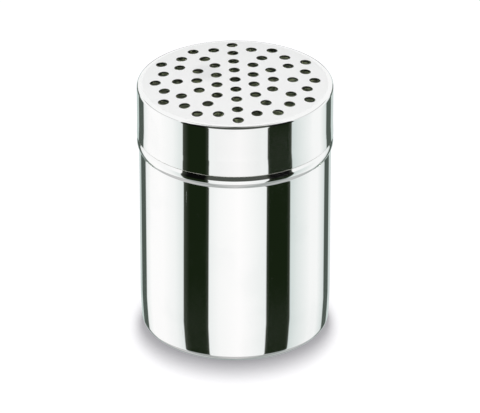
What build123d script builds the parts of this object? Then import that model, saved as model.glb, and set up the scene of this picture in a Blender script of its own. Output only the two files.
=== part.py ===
from build123d import *
import os
from math import sqrt

# A restaurant spice shaker drawn from polished stainless sheet, in millimetres.
# A plain cup with a rolled bead carries a domed, perforated slip-on lid.
# The frame stands at the centre of the foot, with +Z up the axis.

# sheet and fit
sheet = 0.6                 # stock of both drawn pieces
slip_clearance = 0.07       # between the neck and the lid, all round
edge_break = 0.15           # deburred outer corner of the cut edges

# lid
lid_diameter = 70.0
lid_height = 21.0           # cut edge to crown
crown_rise = 1.45           # how far the top is domed
shoulder_radius = 1.2       # outer bend between top and skirt
flare_height = 5.0          # the skirt opens over this height, to start easily on the neck
flare = 0.15                # and by this much on the radius

# sprinkling holes: on spokes, on the lines between them, and in pairs near the shoulder
hole_diameter = 3.7
spoke_count = 6
spoke_radii = (7.6, 15.0, 22.4, 29.8)
between_radii = (13.6, 20.5, 28.4)
pair_radius = 26.2
pair_spread = 30.0          # degrees from one hole of a pair to the other

# cup
cup_height = 94.5           # foot to rim
heel_radius = 2.2           # outer bend at the foot
heel_height = 16.0          # the wall draws in below this height
heel_inset = 0.6            # and by this much on the radius
foot_width = 2.4            # flat ring that the cup stands on
base_lift = 0.9             # inside the ring the base is pressed up by this much
step_width = 2.2            # width of the pressed step

# bead, rolled outwards just below the seated lid
bead_height = 4.8
bead_depth = 0.8
bead_root = 0.6             # hollow bend where the bead leaves the wall
bead_drop = 0.1             # from the edge of the seated lid down to the bead

# the lid slips over the neck of the cup
lid_radius = lid_diameter / 2
cup_radius = lid_radius - sheet - slip_clearance

# the inner bend of the lid's shoulder seats on the deburred rim of the cup
crown_radius = (lid_radius**2 + crown_rise**2) / (2 * crown_rise)
shoulder_x = lid_radius - shoulder_radius
shoulder_z = cup_height - sheet / 2
crown_z = shoulder_z + crown_radius - sqrt((crown_radius - shoulder_radius) ** 2 - shoulder_x**2)
lid_edge_z = crown_z - lid_height

# the bead stands clear of the seated lid
bead_top = lid_edge_z - bead_drop
bead_middle = bead_top - bead_height / 2
bead_bottom = bead_top - bead_height

# the foot ring lies just inside the heel
heel_x = cup_radius - heel_inset
foot_outer = heel_x - heel_radius
foot_inner = foot_outer - foot_width


def turned(section, bends):
    """Revolve a half section about the axis, after rounding its corners: (x, z, radius) each."""
    for x, z, radius in bends:
        corner = section.vertices().sort_by_distance((x, 0, z))[0]
        section = fillet(corner, radius)
    return revolve(section, Axis.Z)


def drawn(solid, mouth):
    """Hollow a turned solid to sheet thickness, open at its mouth, with its cut edge deburred."""
    shell = offset(solid, amount=-sheet, openings=mouth, kind=Kind.INTERSECTION)
    cut_edges = shell.edges().filter_by(GeomType.CIRCLE).filter_by(lambda e: on_level(e, mouth))
    return chamfer(cut_edges.sort_by(SortBy.RADIUS)[-1], edge_break)


def on_level(edge, face):
    return abs(edge.center().Z - face.center().Z) < sheet / 10


def container():
    """Deep-drawn cup: pressed base, foot ring, heel, wall that draws in, bead and plain neck."""
    base = Polyline(
        (0, 0, base_lift),
        (foot_inner - step_width, 0, base_lift),
        (foot_inner, 0, 0),
        (heel_x, 0, 0),
    )
    draw_in = TangentArc(
        (cup_radius, 0, heel_height),
        (heel_x, 0, 0),
        tangent=(0, 0, -1),
    )
    wall = Line((cup_radius, 0, heel_height), (cup_radius, 0, bead_bottom))
    bead = ThreePointArc(
        (cup_radius, 0, bead_bottom),
        (cup_radius + bead_depth, 0, bead_middle),
        (cup_radius, 0, bead_top),
    )
    neck = Polyline(
        (cup_radius, 0, bead_top),
        (cup_radius, 0, cup_height),
        (0, 0, cup_height),
        (0, 0, base_lift),
    )
    section = make_face(base + draw_in + wall + bead + neck)
    bends = (
        (heel_x, 0, heel_radius),
        (cup_radius, bead_bottom, bead_root),
        (cup_radius, bead_top, bead_root),
    )
    body = turned(section, bends)
    return drawn(body, body.faces().sort_by(Axis.Z)[-1])


def hole_places():
    """Centres of the sprinkling holes, one spoke pointing along +Y."""
    gap = 360 / spoke_count
    places = [Location((0, 0))]
    for radius in spoke_radii:
        places += PolarLocations(radius, spoke_count, start_angle=90)
    for radius in between_radii:
        places += PolarLocations(radius, spoke_count, start_angle=90 + gap / 2)
    for side in (-1, 1):
        turn = 90 + (gap + side * pair_spread) / 2
        places += PolarLocations(pair_radius, spoke_count, start_angle=turn)
    return places


def perforated_lid():
    """Drawn lid: domed top, round shoulder, skirt that flares at the edge, punched holes."""
    crown = TangentArc(
        (0, 0, crown_z),
        (lid_radius, 0, crown_z - crown_rise),
        tangent=(1, 0, 0),
    )
    skirt = Polyline(
        (lid_radius, 0, crown_z - crown_rise),
        (lid_radius, 0, lid_edge_z + flare_height),
        (lid_radius + flare, 0, lid_edge_z),
        (0, 0, lid_edge_z),
        (0, 0, crown_z),
    )
    section = make_face(crown + skirt)
    body = turned(section, ((lid_radius, crown_z - crown_rise, shoulder_radius),))
    shell = drawn(body, body.faces().sort_by(Axis.Z)[0])
    punch = Cylinder(hole_diameter / 2, lid_height)
    return shell - [Pos(0, 0, crown_z) * place * punch for place in hole_places()]


os.makedirs("parts", exist_ok=True)
export_step(container(), "parts/container.step")
export_step(perforated_lid(), "parts/perforated_lid.step")
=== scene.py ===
from math import atan, cos, degrees, pi, radians, sin, sqrt, tan

import bmesh
import bpy
from mathutils import Matrix, Vector


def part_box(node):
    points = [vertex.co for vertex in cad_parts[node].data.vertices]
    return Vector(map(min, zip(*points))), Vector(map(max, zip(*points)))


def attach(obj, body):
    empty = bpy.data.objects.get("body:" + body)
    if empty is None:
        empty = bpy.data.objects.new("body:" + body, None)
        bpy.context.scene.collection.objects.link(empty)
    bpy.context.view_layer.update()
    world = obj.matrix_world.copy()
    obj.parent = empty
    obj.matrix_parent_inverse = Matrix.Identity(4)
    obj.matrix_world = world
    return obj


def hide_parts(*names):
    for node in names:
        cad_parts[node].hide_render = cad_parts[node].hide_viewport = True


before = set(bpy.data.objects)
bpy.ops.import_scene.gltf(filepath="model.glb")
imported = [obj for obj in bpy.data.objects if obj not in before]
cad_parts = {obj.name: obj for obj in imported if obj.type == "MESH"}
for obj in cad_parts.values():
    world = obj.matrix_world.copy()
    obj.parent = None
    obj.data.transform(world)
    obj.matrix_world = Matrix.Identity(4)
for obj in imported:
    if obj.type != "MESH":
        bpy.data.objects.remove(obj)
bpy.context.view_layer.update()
scene = bpy.context.scene
mm = 0.001  # pieces are set out in millimetres and degrees

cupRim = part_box("container")[1]
lidEdge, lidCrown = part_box("perforated_lid")


class Wire:
    # one output socket; sums and products of wires add their Math nodes
    def __init__(self, tree, socket=None):
        self.tree = tree
        self.socket = socket

    def node(self, kind, settings, inputs, output=0):
        made = self.tree.nodes.new("ShaderNode" + kind)
        for name, value in settings.items():
            if name == "stops":
                fillRamp(made.color_ramp, value)
            else:
                setattr(made, name, value)
        for name, value in inputs.items():
            if isinstance(value, Wire):
                self.tree.links.new(value.socket, made.inputs[name])
            else:
                made.inputs[name].default_value = value
        return Wire(self.tree, made.outputs[output] if made.outputs else None)

    def outputs(self, names):
        # a wire from each of these outputs of the same node
        return [Wire(self.tree, self.socket.node.outputs[name]) for name in names]

    def math(self, operation, first, second=0.0):
        return self.node("Math", {"operation": operation}, {0: first, 1: second})

    def __add__(self, other):
        return self.math("ADD", self, other)

    def __sub__(self, other):
        return self.math("SUBTRACT", self, other)

    def __rsub__(self, other):
        return self.math("SUBTRACT", other, self)

    def __mul__(self, other):
        return self.math("MULTIPLY", self, other)

    __radd__ = __add__
    __rmul__ = __mul__

    def rise(self, low, high):
        # 0 below low, 1 above high, and a soft rise between them; it falls where low is the higher
        edges = {"Value": self, "From Min": low, "From Max": high}
        return self.node("MapRange", {"interpolation_type": "SMOOTHSTEP"}, edges)

    def step(self, at, blur):
        return self.rise(at - blur, at + blur)

    def within(self, low, high, blur):
        return self.step(low, blur) * (1 - self.step(high, blur))

    def mixed(self, first, second):
        # first where this wire is 0, second where it is 1
        return self.node("Mix", {"data_type": "RGBA"}, {0: self, 6: first, 7: second}, 2)

    def shaded(self, shade):
        # the product of two colours
        settings = {"data_type": "RGBA", "blend_type": "MULTIPLY"}
        return self.node("Mix", settings, {0: 1.0, 6: self, 7: shade}, 2)

    def split(self, axes="XYZ"):
        return self.node("SeparateXYZ", {}, {"Vector": self}).outputs(axes)

    def noise(self, scale, detail):
        # a scale for each axis draws it out into streaks
        if isinstance(scale, tuple):
            return self.node("Mapping", {}, {"Vector": self, "Scale": scale}).noise(1.0, detail)
        return self.node("TexNoise", {}, {"Vector": self, "Scale": scale, "Detail": detail})

    def bump(self, depth):
        return self.node("Bump", {}, {"Height": self, "Distance": depth * mm, "Strength": 1.0}, "Normal")


def fillRamp(ramp, stops):
    while len(ramp.elements) < len(stops):
        ramp.elements.new(1.0)
    for element, (place, colour) in zip(ramp.elements, stops):
        element.position = place
        element.color = colour


def rgba(colour, level=1.0):
    return tuple(level * share for share in colour) + (1.0,)


def grey(level):
    return rgba((level, level, level))


def emptyTree(owner):
    # the owner is a new material or world
    owner.use_nodes = True
    owner.node_tree.nodes.clear()
    return Wire(owner.node_tree)


# noise is given as (scale per metre, detail), and a cut is the span of it that comes through
mirrorFinish = {
    "steel": (0.940, 0.945, 0.940),
    "roughness": 0.022,
    "wipes": (45.0, 3.0),             # where a cloth has left a faint film
    "wipeCut": (0.48, 0.72),
    "wiped": (0.915, 0.925, 0.920),
    "wipedRoughness": 0.020,
    "wipedFilm": 0.012,
    "dustFilm": 0.022,                # near the foot, thinning out between these heights
    "dustHeight": (3.0, 36.0),
    "smear": (15.4, -31.4, 83.0),     # the lid was last held here
    "smearReach": (15.0, 4.0),
    "smearFilm": 0.026,
    "waves": (38.0, 0.0),             # soft dents left by the drawing
    "waveDepth": 0.012,
    "hairlines": ((2600.0, 2600.0, 60.0), 0.0),
    "hairlineCut": (0.80, 0.86),
    "patches": (120.0, 1.0),          # the hairlines come in patches
    "patchCut": (0.55, 0.65),
    "hairlineRoughness": 0.22,
}


def mirrorSteel(place):
    f = mirrorFinish
    wiped = place.noise(*f["wipes"]).rise(*f["wipeCut"])
    height = place.split()[2]
    dust = (1 - height.rise(*(z * mm for z in f["dustHeight"]))) * f["dustFilm"]
    held = tuple(side * mm for side in f["smear"])
    away = place.node("VectorMath", {"operation": "DISTANCE"}, {0: place, 1: held}, "Value")
    smear = away.rise(*(reach * mm for reach in f["smearReach"])) * f["smearFilm"]
    patches = place.noise(*f["patches"]).rise(*f["patchCut"])
    hairlines = place.noise(*f["hairlines"]).rise(*f["hairlineCut"]) * patches
    return {
        "Base Color": wiped.mixed(rgba(f["steel"]), rgba(f["wiped"])),
        "Metallic": 1 - (dust + wiped * f["wipedFilm"] + smear),
        "Roughness": wiped * f["wipedRoughness"] + hairlines * f["hairlineRoughness"] + f["roughness"],
        "Normal": place.noise(*f["waves"]).bump(f["waveDepth"]),
    }


satinFinish = {
    "steel": (0.86, 0.86, 0.80),
    "grooves": 0.9,                   # how bright the low places of the grain are
    "grain": ((900.0, 900.0, 60.0), 2.0),   # drawn lines run up the wall
    "grainDepth": 0.002,
    "roughness": 0.75,
    "grainRoughness": 0.12,
}


def satinSteel(place):
    f = satinFinish
    grain = place.noise(*f["grain"])
    return {
        "Base Color": grain.mixed(rgba(f["steel"], f["grooves"]), rgba(f["steel"])),
        "Metallic": 1.0,
        "Roughness": grain * f["grainRoughness"] + f["roughness"],
        "Normal": grain.bump(f["grainDepth"]),
    }


punchedShadedFinish = {
    # painted shade: the bore's steel is made this dark and olive to give the holes their shade
    "steel": (0.165, 0.176, 0.148),
    "torn": (0.205, 0.219, 0.187),
    "tears": (1500.0, 1.0),
    "roughness": 0.65,
    "tornRoughness": 0.2,
}


def punchedSteelPaintedShade(place):
    # the torn, dull bore that a punch leaves; its steel is also painted dark and olive as the hole's shade
    f = punchedShadedFinish
    tears = place.noise(*f["tears"])
    return {
        "Base Color": tears.mixed(rgba(f["steel"]), rgba(f["torn"])),
        "Metallic": 1.0,
        "Roughness": tears * f["tornRoughness"] + f["roughness"],
    }


brushedFinish = {
    "steel": (0.975, 0.980, 0.977),
    "metallic": 0.70,                 # a dry film of handling dulls it
    "grain": ((90.0, 2200.0, 90.0), 2.0),   # the brushing runs across the lid
    "roughness": 0.38,
    "grainRoughness": 0.10,
    "paintedReflection": (-9.8, 6.0),            # a painted reflection of a soft dark thing behind darkens the lid's top here, and how far it reaches
    "paintedReflectionReach": (6.0, 7.5),
    "paintedReflectionEdge": 1.3,                # it ends where the squared distance, in reaches, is this
    # the painted reflection's colour on the lid's top
    "paintedReflectionColour": (0.870, 0.878, 0.880),
}


def brushedSteel(place):
    f = brushedFinish
    across, along = (
        (axis - middle * mm) * (1 / (reach * mm))
        for axis, middle, reach in zip(place.split("XY"), f["paintedReflection"], f["paintedReflectionReach"])
    )
    # painted reflection: the lid's top is darker in this patch, standing for a dark thing behind mirrored in
    # it
    paintedReflection = (across * across + along * along).rise(f["paintedReflectionEdge"], 0)
    return {
        "Base Color": paintedReflection.mixed(rgba(f["steel"]), rgba(f["paintedReflectionColour"])),
        "Metallic": f["metallic"],
        "Roughness": place.noise(*f["grain"]) * f["grainRoughness"] + f["roughness"],
    }


def newSteel(finish):
    # a finish gives the shader's sockets from the place on the piece
    material = bpy.data.materials.new(finish.__name__)
    wire = emptyTree(material)
    place = wire.node("TexCoord", {}, {}, "Object")
    shader = wire.node("BsdfPrincipled", {}, finish(place))
    wire.node("OutputMaterial", {}, {"Surface": shader})
    return material


finishes = [newSteel(finish) for finish in (mirrorSteel, satinSteel, punchedSteelPaintedShade, brushedSteel)]
polished, satin, punchedShaded, brushed = range(4)  # their slots on both pieces
print("finishes made")


sameSpot = 1e-7     # in metres: points nearer than this are one
longRun = 1.0       # a run longer than this gets a point near each end
holdingRun = 0.25   # this far in, which keeps it straight in its shading
bendShare = 0.9     # a bend takes this much of a short side


def newObject(name, data):
    made = bpy.data.objects.new(name, data)
    scene.collection.objects.link(made)
    return made


def meshData(name, mesh):
    data = bpy.data.meshes.new(name)
    mesh.to_mesh(data)
    mesh.free()
    return data


def mergePoints(mesh):
    bmesh.ops.remove_doubles(mesh, verts=mesh.verts[:], dist=sameSpot)


def addTurned(mesh, corners, steps, finish, held=True):
    # corners are (x, z, reach, pieces): a corner is rounded over reach along both its sides
    turned = bmesh.new()
    points = [turned.verts.new((x * mm, 0, z * mm)) for x, z, *_ in corners]
    for first, second in zip(points, points[1:]):
        turned.edges.new((first, second))
    for point, (_, _, reach, pieces) in zip(points, corners):
        if reach:
            bmesh.ops.bevel(
                turned, geom=[point], offset=reach * mm, offset_type="OFFSET", segments=pieces,
                profile=0.5, affect="VERTICES", clamp_overlap=False, material=-1,
            )
    for edge in turned.edges[:]:
        share = holdingRun * mm / edge.calc_length()
        if held and share < holdingRun / longRun:
            start, end = edge.verts
            bmesh.utils.edge_split(edge, start, share)
            bmesh.utils.edge_split(edge, end, share / (1 - share))
    chain = turned.verts[:] + turned.edges[:]
    bmesh.ops.spin(
        turned, geom=chain, cent=(0, 0, 0), axis=(0, 0, 1), angle=2 * pi, steps=steps, use_merge=True,
    )
    for face in turned.faces:
        face.material_index = finish
    data = meshData("turned", turned)
    mesh.from_mesh(data)
    bpy.data.meshes.remove(data)


def finishedPiece(name, mesh, body, node):
    mergePoints(mesh)
    bmesh.ops.recalc_face_normals(mesh, faces=mesh.faces[:])
    for face in mesh.faces:
        face.smooth = True
    data = meshData(name, mesh)
    for finish in finishes:
        data.materials.append(finish)
    piece = newObject(name, data)
    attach(piece, body)
    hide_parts(node)
    print(name, "made,", len(data.polygons), "faces")


cup = {
    "radius": 34.33,
    "sheet": 0.6,
    "steps": 256,
    "heelBend": 2.7,
    "heelInset": 0.6,
    "drawIn": 9.0,          # the wall draws in to the heel from about here
    "drawInReach": 6.0,
    "footWidth": 2.4,
    "baseLift": 0.9,
    "stepWidth": 2.2,
    "stepReach": 0.5,
    "beadTop": 75.656,
    "beadHeight": 4.45,
    "beadNose": 2.7,        # how far down its outermost line lies
    "beadDepth": 0.75,
    "beadCorner": 1.8,      # its corner stands out this many depths, and the bend takes the rest off
    "beadBend": 1.85,
    "beadRoot": 0.25,
    "rimRound": 0.2,
    "polishEnd": 1.0,       # inside, the polish ends this far below the rim
}


def cupWall(inset):
    # corners of one side of the sheet, from the axis out and up past the bead
    heelX = cup["radius"] - cup["heelInset"]
    footInner = heelX - cup["heelBend"] - cup["footWidth"]
    base = cup["baseLift"] + inset
    wall = cup["radius"] - inset
    return [
        (0, base, 0, 0),
        (footInner - cup["stepWidth"], base, cup["stepReach"], 4),
        (footInner, inset, cup["stepReach"], 4),
        (heelX - inset, inset, cup["heelBend"] - inset, 14),
        (wall, cup["drawIn"], cup["drawInReach"], 12),
        (wall, cup["beadTop"] - cup["beadHeight"], cup["beadRoot"], 5),
        (wall + cup["beadDepth"] * cup["beadCorner"], cup["beadTop"] - cup["beadNose"], cup["beadBend"], 18),
        (wall, cup["beadTop"], cup["beadRoot"], 5),
    ]


def makeCup():
    mesh = bmesh.new()
    rim = cupRim.z / mm
    inner = cup["radius"] - cup["sheet"]
    joint = (inner, rim - cup["polishEnd"], 0, 0)
    lip = [(cup["radius"], rim, cup["rimRound"], 4), (inner, rim, cup["rimRound"], 4), joint]
    addTurned(mesh, cupWall(0) + lip, cup["steps"], polished)
    addTurned(mesh, cupWall(cup["sheet"]) + [joint], cup["steps"], satin)
    finishedPiece("shakerCup", mesh, "container", "container")


lid = {
    "radius": 35.0,
    "sheet": 0.6,
    "steps": 256,
    "crownRise": 1.45,
    "shoulder": 1.05,
    "flare": 0.12,
    "flareHeight": 5.0,
    "flareBend": 1.0,
    "edgeRound": 0.28,
    "edgeEnd": 0.2,          # the run of the cut edge ends this far up the flare inside
    "holeRadius": 1.85,
    "holeRoll": 0.15,        # the punch rolls the upper edge of a hole over
    "holeBurr": 0.04,
    "holeSteps": 32,
    "collar": 0.25,          # flat ring kept round each hole
    "webRadius": 32.7,       # the holes lie within this ring
    "brushedRadius": 33.1,   # and the brushing ends here
    "webEdge": 1.3,          # longer edges in the sheet between them are cut in two
    "webCuts": 4,            # this many times
    "near": 0.001,           # a point this near the holes' ring lies on it
}

holePattern = {
    "spokes": 6,
    "spokeRadii": (7.6, 15.0, 22.4, 29.8),
    "betweenRadii": (13.6, 20.5, 28.4),
    "pairRadius": 26.2,
    "pairSpread": 30.0,
}


def holePlaces():
    p = holePattern
    gap = 360 / p["spokes"]
    rings = [(r, 0) for r in p["spokeRadii"]] + [(r, gap / 2) for r in p["betweenRadii"]]
    rings += [(p["pairRadius"], (gap + side * p["pairSpread"]) / 2) for side in (-1, 1)]
    places = []
    for ringRadius, turn in rings:
        for spoke in range(p["spokes"]):
            angle = radians(90 + turn + spoke * gap)
            places.append(Vector((cos(angle), sin(angle), 0)) * ringRadius * mm)
    return places


def drop(out):
    # how far the dome has fallen at this distance from its crown
    domeRadius = (lid["radius"] ** 2 + lid["crownRise"] ** 2) / (2 * lid["crownRise"])
    return domeRadius - sqrt(domeRadius ** 2 - out ** 2)


def addHoles(mesh):
    # the centre hole's bore with a flat ring above and below, then its copies
    bore = lid["holeRadius"]
    rolled = bore + lid["holeRoll"]
    flat = rolled + lid["collar"]
    lower = -lid["sheet"]
    upperRing = [(flat, 0, 0, 0), (rolled, 0, 0, 0)]
    lowerRing = [(rolled, lower, 0, 0), (flat, lower, 0, 0)]
    boreSide = [
        upperRing[-1],
        (bore, 0, lid["holeRoll"] * bendShare, 4),
        (bore, lower, lid["holeBurr"], 2),
        lowerRing[0],
    ]
    for corners, finish in ((upperRing, brushed), (boreSide, punchedShaded), (lowerRing, satin)):
        addTurned(mesh, corners, lid["holeSteps"], finish, held=False)
    mergePoints(mesh)
    pattern = mesh.verts[:] + mesh.edges[:] + mesh.faces[:]
    for place in holePlaces():
        copied = bmesh.ops.duplicate(mesh, geom=pattern)["geom"]
        moved = [part for part in copied if isinstance(part, bmesh.types.BMVert)]
        bmesh.ops.translate(mesh, verts=moved, vec=place)


def addSkirt(mesh):
    # from the holes' ring over the shoulder, down the skirt and back up inside
    radius = lid["radius"]
    inner = radius - lid["sheet"]
    web = lid["webRadius"]
    webZ = -drop(web)
    slope = web / radius * 2 * lid["crownRise"] / radius
    turn = tan(pi / 4 - atan(slope) / 2)
    rim = lid["brushedRadius"]
    brushedRing = [(web, webZ, 0, 0), (rim, webZ - (rim - web) * slope, 0, 0)]

    edge = (lidEdge.z - lidCrown.z) / mm
    flareZ = edge + lid["flareHeight"]
    edgeReach = lid["edgeRound"] * bendShare
    outerSide = [
        brushedRing[-1],
        (radius, webZ - (radius - web) * slope, lid["shoulder"] * turn, 14),
        (radius, flareZ, lid["flareBend"], 4),
        (radius + lid["flare"], edge + lid["edgeRound"], 0, 0),
    ]
    up = lid["edgeEnd"]
    cutEdge = [
        outerSide[-1],
        (radius + lid["flare"], edge, edgeReach, 4),
        (inner + lid["flare"], edge, edgeReach, 4),
        (inner + lid["flare"] * (1 - up), edge + lid["flareHeight"] * up, 0, 0),
    ]
    innerSide = [
        cutEdge[-1],
        (inner, flareZ, lid["flareBend"], 4),
        (inner, webZ - lid["sheet"] - (inner - web) * slope, (lid["shoulder"] - lid["sheet"]) * turn, 10),
        (web, webZ - lid["sheet"], 0, 0),
    ]
    sides = ((brushedRing, brushed), (outerSide, polished), (cutEdge, satin), (innerSide, satin))
    for corners, finish in sides:
        addTurned(mesh, corners, lid["steps"], finish)


def fillWeb(mesh, level, finish):
    # the sheet between the holes, on one side of the lid
    def onLevel(edge):
        return all(abs(point.co.z - level * mm) < sameSpot for point in edge.verts)

    rings = [edge for edge in mesh.edges if edge.is_boundary and onLevel(edge)]
    filled = bmesh.ops.triangle_fill(mesh, edges=rings, use_beauty=True, normal=(0, 0, 1))["geom"]
    for part in filled:
        if isinstance(part, bmesh.types.BMFace):
            part.material_index = finish
    longest = lid["webEdge"] * mm
    for _ in range(lid["webCuts"]):
        cut = [edge for edge in mesh.edges if edge.calc_length() > longest and onLevel(edge)]
        bmesh.ops.subdivide_edges(mesh, edges=cut, cuts=1)
    web = [face for face in mesh.faces if len(face.verts) > 4 and all(map(onLevel, face.edges))]
    bmesh.ops.triangulate(mesh, faces=web)


def makeLid():
    mesh = bmesh.new()
    addHoles(mesh)
    addSkirt(mesh)
    mergePoints(mesh)
    web = lid["webRadius"]
    for point in mesh.verts:  # the ring is made flat for the fill, like the holes
        if abs(point.co.xy.length / mm - web) < lid["near"]:
            point.co.z += drop(web) * mm
    fillWeb(mesh, 0, brushed)
    fillWeb(mesh, -lid["sheet"], satin)
    for point in mesh.verts:  # then the whole web is pressed into the dome
        out = point.co.xy.length / mm
        if out < web + lid["near"]:
            point.co.z -= drop(out) * mm
    bmesh.ops.translate(mesh, verts=mesh.verts[:], vec=(0, 0, lidCrown.z))
    finishedPiece("shakerLid", mesh, "lid", "perforated_lid")


makeCup()
makeLid()


# the studio is set out in degrees of azimuth from the camera and of elevation
# a band is (from, to, blur), an edge is (at, blur), and a fade is (from, to)
tentFoot = -43.5  # here the cloth meets the table

tent = {
    "panels": (                      # the white cloth by azimuth, and how bright it is
        (-180, 0.66), (-160, 0.62), (-131, 0.94), (-122, 1.03), (-98, 1.03), (-78, 0.96), (-66, 0.83),
        (-31, 0.92), (-20, 0.99), (5, 1.045), (22, 0.985), (38, 0.91), (70, 0.73), (82, 0.84),
        (104, 0.98), (118, 0.98), (134, 0.78), (158, 0.67), (180, 0.73),
    ),
    "dimming": (1.30, 1.0, 1.07),    # the cloth turns a little green where it is dimmer
    "roof": 0.99,
    "roofFade": (-2.0, 12.0),
    "foot": (tentFoot, 1.5),
    "table": (0.55, 0.56),           # how bright it is straight below, and where the cloth meets it
    "tableFade": (-80.0, tentFoot),
    "rails": ((-131.0, -68.0, 4.0), (72.0, 131.0, 4.0)),  # what carries the roof, seen in the lid's rim
    "railHeight": (17.0, 28.0, 2.0),
    "railShade": 0.50,
    "valance": (-25.0, 30.0, 5.0),   # a slightly greyer cloth hangs across the middle
    "valanceHeight": (-27.6, -22.0, 0.15),
    "valanceShade": 0.945,
}


def tentColour(azimuth, elevation):
    t = tent
    stops = [
        ((place + 180) / 360, rgba(level ** power for power in t["dimming"]))
        for place, level in t["panels"]
    ]
    panels = azimuth.node("ValToRGB", {"stops": stops}, {"Fac": (azimuth + 180) * (1 / 360)})
    cloth = elevation.rise(*t["roofFade"]).mixed(panels, grey(t["roof"]))
    table = elevation.rise(*t["tableFade"]).mixed(*map(grey, t["table"])).shaded(panels)
    colour = elevation.step(*t["foot"]).mixed(table, cloth)
    rails = sum(azimuth.within(*rail) for rail in t["rails"]) * elevation.within(*t["railHeight"])
    colour = rails.mixed(colour, grey(t["railShade"]))
    valance = azimuth.within(*t["valance"]) * elevation.within(*t["valanceHeight"])
    return colour.shaded(valance.mixed(grey(1.0), grey(t["valanceShade"])))


room = {
    "sill": (-12.0, 12.0, 2.0),      # a dark thing straight behind, seen in the back of the rim
    "sillHeight": (-20.0, 13.0, 2.0),
    "sillShade": 0.25,
    "farStrips": ((-157.0, -137.0, 1.5), (136.5, 155.0, 1.5)),  # dark, on both sides behind
    "farHeight": (tentFoot, 5.0, 2.5),
    "farShade": (0.080, 0.101, 0.087),
    "farLean": 0.010,                # above this height they stand a little nearer to the camera
    "farLeanFrom": (-27.25, 0.1),
    "ceiling": (-57.5, 65.0, 2.0),   # the dark side of the room above the camera
    "ceilingFrom": (-1.0, 2.0),
    "gap": (-42.0, 42.0, 3.0),       # and a gap in the roof straight behind, as dark
    "gapFrom": (61.0, 2.0),
    "ceilingShade": (0.078, 0.085, 0.075),
}


def withRoom(colour, azimuth, behind, elevation):
    r = room
    sill = behind.within(*r["sill"]) * elevation.within(*r["sillHeight"])
    colour = sill.mixed(colour, grey(r["sillShade"]))
    leaning = azimuth * (elevation.step(*r["farLeanFrom"]) * r["farLean"] + 1)
    far = sum(leaning.within(*strip) for strip in r["farStrips"]) * elevation.within(*r["farHeight"])
    colour = far.mixed(colour, rgba(r["farShade"]))
    ceiling = azimuth.within(*r["ceiling"]) * elevation.step(*r["ceilingFrom"])
    gap = behind.within(*r["gap"]) * elevation.step(*r["gapFrom"])
    return colour.math("MAXIMUM", ceiling, gap).mixed(colour, rgba(r["ceilingShade"]))


darkStrips = {
    "strips": ((-64.7, -31.5, 6.0, 3.4), (38.3, 70.0, 3.0, 3.6)),  # from, to, and the glow in each side
    "blur": 0.8,
    "core": (0.0085, 0.0150, 0.0060),
    "glow": (0.064, 0.073, 0.058),
    "upper": 0.003,                  # the core's shade further up
    "upperFade": (-20.0, -4.0),
    "foot": (tentFoot - 2.0, tentFoot + 6.0),
    "onTable": 0.16,                 # how far the strips still show in the table
    "top": (36.0, 6.0),
    "lean": 0.03,                    # they draw together a little further up
    "leanFade": (-18.0, 8.0),
    "sway": 2.5,                     # and bend by this much between these heights, most on the left
    "swayHeight": (-30.2, -26.0),
    "swayEnd": (8.0, -8.0),
    "swaySide": (62.0, 2.0),
}


def withStrips(colour, azimuth, elevation):
    d = darkStrips
    bend = (elevation.rise(*d["swayHeight"]) - 0.5) * elevation.rise(*d["swayEnd"])
    bend = bend * azimuth.rise(*d["swaySide"]) * d["sway"]
    leaning = azimuth * (elevation.rise(*d["leanFade"]) * d["lean"] + 1) - bend
    strips, cores = 0, 0
    for low, high, lowGlow, highGlow in d["strips"]:
        strips = strips + leaning.within(low, high, d["blur"])
        fromLow = leaning.step(low + lowGlow / 2, lowGlow)
        toHigh = leaning.step(high - highGlow / 2, highGlow)
        cores = cores + fromLow * (1 - toHigh)
    core = elevation.rise(*d["upperFade"]).mixed(rgba(d["core"]), grey(d["upper"]))
    dark = cores.mixed(rgba(d["glow"]), core)
    height = elevation.rise(*d["foot"]) * (1 - d["onTable"]) + d["onTable"]
    height = height * (1 - elevation.step(*d["top"]))
    return (strips * height).mixed(colour, dark)


studio = {
    "turn": -2.2,                    # tent, lamp and camera stand turned by this about the shaker
    "fill": 0.20,                    # what the tent gives where it isn't mirrored
    "deepLight": (3.5, 3.95, 3.3),   # stands for light that has gone round inside the closed cup
    "deepFrom": (2, 3),              # from the third mirroring on
}
studioTurn = Matrix.Rotation(radians(studio["turn"]), 4, "Z")


def makeTent():
    s = studio
    scene.world = bpy.data.worlds.new("studioTent")
    wire = emptyTree(scene.world)
    direction = wire.node("TexCoord", {}, {}, "Generated")
    turn = (0.0, 0.0, radians(-s["turn"]))
    facing = wire.node("Mapping", {"vector_type": "VECTOR"}, {"Vector": direction, "Rotation": turn})
    x, y, z = facing.split()
    azimuth = wire.math("ARCTAN2", x, 0 - y) * degrees(1)
    behind = wire.math("ARCTAN2", x, y) * degrees(1)  # azimuth from the far side
    elevation = wire.math("ARCSINE", z) * degrees(1)
    colour = tentColour(azimuth, elevation)
    colour = withRoom(colour, azimuth, behind, elevation)
    colour = withStrips(colour, azimuth, elevation)

    rays = ("Is Glossy Ray", "Is Camera Ray", "Diffuse Depth", "Glossy Depth")
    glossy, camera, diffuseDepth, glossyDepth = wire.node("LightPath", {}, {}).outputs(rays)
    colour = glossyDepth.rise(*s["deepFrom"]).mixed(colour, rgba(s["deepLight"]))
    colour = diffuseDepth.rise(0, 1).mixed(colour, grey(0.0))  # the steel throws no light on the paper
    shown = glossy.mixed(camera.mixed(grey(s["fill"]), grey(1.0)), colour)
    light = wire.node("Background", {}, {"Color": shown, "Strength": 1.0})
    wire.node("OutputWorld", {}, {"Surface": light})


softbox = {
    "height": 6.0,              # in metres, like its size
    "behind": 3.6,              # degrees back from straight above
    "aside": 0.1,
    "size": (0.36, 1.08),
    "power": 250.0,
}


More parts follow.
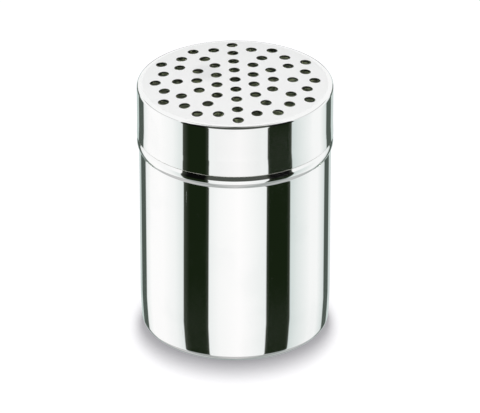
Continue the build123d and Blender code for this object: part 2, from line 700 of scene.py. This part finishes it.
def makeSoftbox():
    data = bpy.data.lights.new("softbox", "AREA")
    data.shape = "ELLIPSE"
    data.size, data.size_y = softbox["size"]
    data.energy = softbox["power"]
    lamp = newObject("softbox", data)
    aside = Matrix.Rotation(radians(softbox["aside"]), 4, "Y")
    back = Matrix.Rotation(radians(-softbox["behind"]), 4, "X")
    lamp.matrix_world = studioTurn @ aside @ back @ Matrix.Translation((0, 0, softbox["height"]))
    lamp.visible_glossy = False  # the tent is what the steel shows
    lamp.visible_camera = False


floorLook = {
    "size": 6.0,                    # in metres
    "paper": (0.80, 0.80, 0.80),
    "lift": (0.345, 0.340, 0.358),  # what the paper glows for the camera alone
}


def makeFloor():
    f = floorLook
    mesh = bmesh.new()
    bmesh.ops.create_grid(mesh, x_segments=1, y_segments=1, size=f["size"] / 2)
    data = meshData("studioFloor", mesh)
    floor = newObject("studioFloor", data)
    material = bpy.data.materials.new("floorPaper")
    wire = emptyTree(material)
    paper = wire.node("BsdfDiffuse", {}, {"Color": rgba(f["paper"])})
    camera = wire.node("LightPath", {}, {}, "Is Camera Ray")
    glow = wire.node("Emission", {}, {"Color": rgba(f["lift"]), "Strength": camera})
    both = wire.node("AddShader", {}, {0: paper, 1: glow})
    wire.node("OutputMaterial", {}, {"Surface": both})
    data.materials.append(material)
    floor.visible_glossy = False


cameraPlace = {
    "elevation": 27.984,
    "distance": 1726.2,
    "height": 48.35,
    "sideStep": 2.787,
    "aim": (1.74, 0.0, 45.56),
    "lens": 359.6,
    "clip": (0.01, 20.0),       # in metres
}


def makeCamera():
    c = cameraPlace
    tilt = radians(c["elevation"])
    back = Vector((c["sideStep"], -c["distance"] * cos(tilt), c["height"] + c["distance"] * sin(tilt)))
    location = studioTurn @ (back * mm)
    target = studioTurn @ (Vector(c["aim"]) * mm)
    data = bpy.data.cameras.new("studioCamera")
    data.lens = c["lens"]
    data.clip_start, data.clip_end = c["clip"]
    camera = newObject("studioCamera", data)
    camera.location = location
    camera.rotation_mode = "QUATERNION"
    camera.rotation_quaternion = (target - location).to_track_quat("-Z", "Y")
    scene.camera = camera


makeTent()
makeSoftbox()
makeFloor()
makeCamera()
scene.view_settings.view_transform = "Standard"
print("studio, lamp, floor and camera made")
